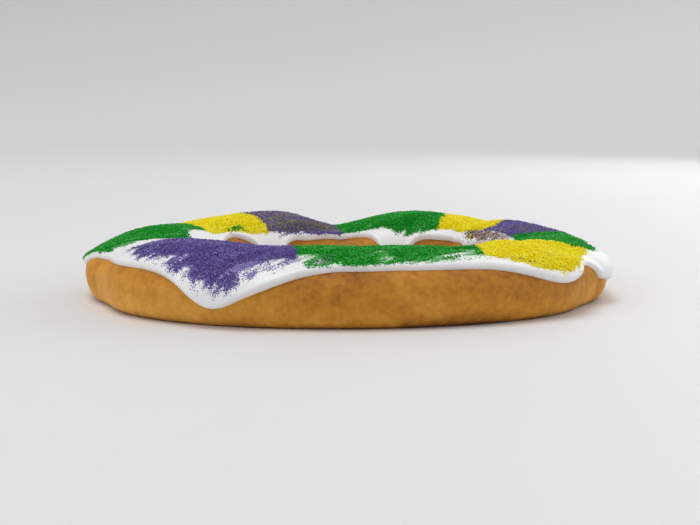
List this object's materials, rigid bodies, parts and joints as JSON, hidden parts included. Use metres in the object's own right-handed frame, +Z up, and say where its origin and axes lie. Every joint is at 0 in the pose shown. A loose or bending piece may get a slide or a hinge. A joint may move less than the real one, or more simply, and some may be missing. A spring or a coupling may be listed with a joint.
{
  "type": "king cake",
  "caption": "Oval ring cake of baked sweet dough, with white icing dripping over its sides and bands of purple, green and yellow sugar.",
  "frame": {"origin": "on the ground under the middle of the cake's box", "axes": "+X along the oval's long way, to the right seen from the front; +Y from the front to the back; +Z up"},
  "size_m": [0.2954, 0.2316, 0.0398],
  "materials": {
    "crust": "golden brown baked crust, mottled, satin",
    "icing": "set white sugar icing, soft gloss",
    "sugar_purple": "coarse purple sanding sugar, matt with sparkle",
    "sugar_green": "coarse green sanding sugar, matt with sparkle",
    "sugar_yellow": "coarse yellow sanding sugar, matt with sparkle"
  },
  "bodies": {
    "root": {"dough_ring": "crust", "icing": "icing", "sugar_purple_front_left": "sugar_purple", "sugar_green_front": "sugar_green", "sugar_yellow_front_right": "sugar_yellow", "sugar_green_right": "sugar_green", "sugar_purple_back_right": "sugar_purple", "sugar_yellow_back_right": "sugar_yellow", "sugar_green_back_right": "sugar_green", "sugar_purple_back_left": "sugar_purple", "sugar_yellow_back_left": "sugar_yellow", "sugar_green_left": "sugar_green"}
  },
  "joints": []
}
